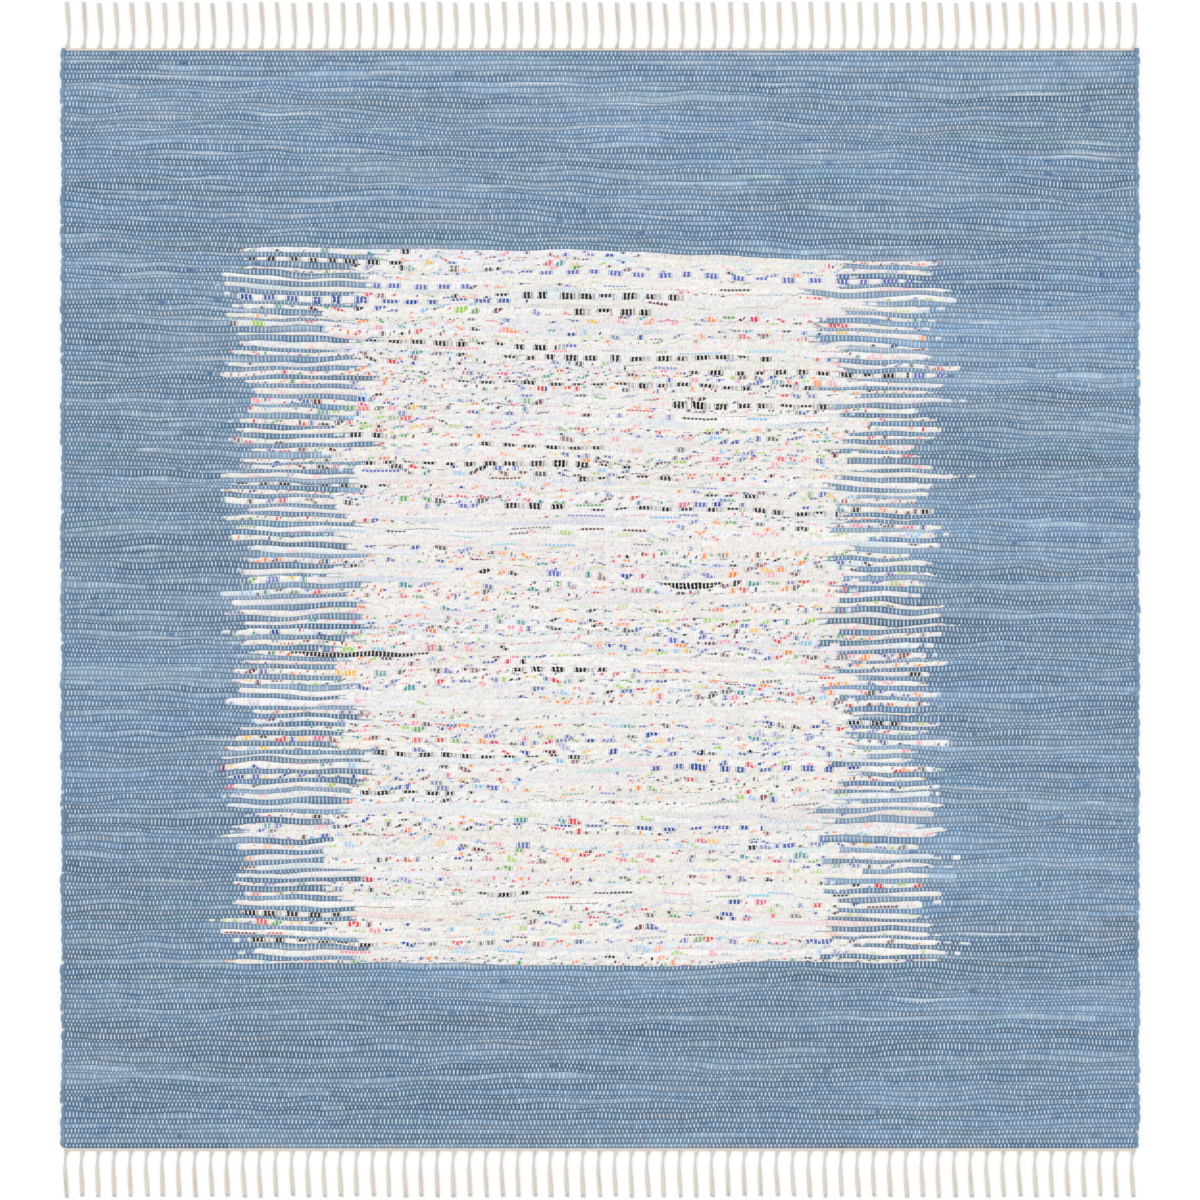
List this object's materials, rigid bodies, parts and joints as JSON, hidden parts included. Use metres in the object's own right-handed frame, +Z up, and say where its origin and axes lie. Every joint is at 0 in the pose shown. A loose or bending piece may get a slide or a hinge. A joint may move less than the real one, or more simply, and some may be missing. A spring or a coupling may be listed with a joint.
{
  "type": "cotton rug",
  "caption": "Flat square cotton rag rug in plain weave, with a plain border, a light flecked centre panel and a tasselled warp fringe along two opposite ends.",
  "frame": {"origin": "centre of the underside, on the floor", "axes": "+X along the weft from selvedge to selvedge, +Y along the warp towards the far fringe, +Z up from the floor"},
  "size_m": [1.83, 2.032, 0.006],
  "materials": {
    "rag_weave": "matte cotton rag weave",
    "warp_cotton": "matte undyed cotton yarn"
  },
  "bodies": {
    "root": {"woven_field": "rag_weave", "fringe_far": "warp_cotton", "fringe_near": "warp_cotton"}
  },
  "joints": []
}
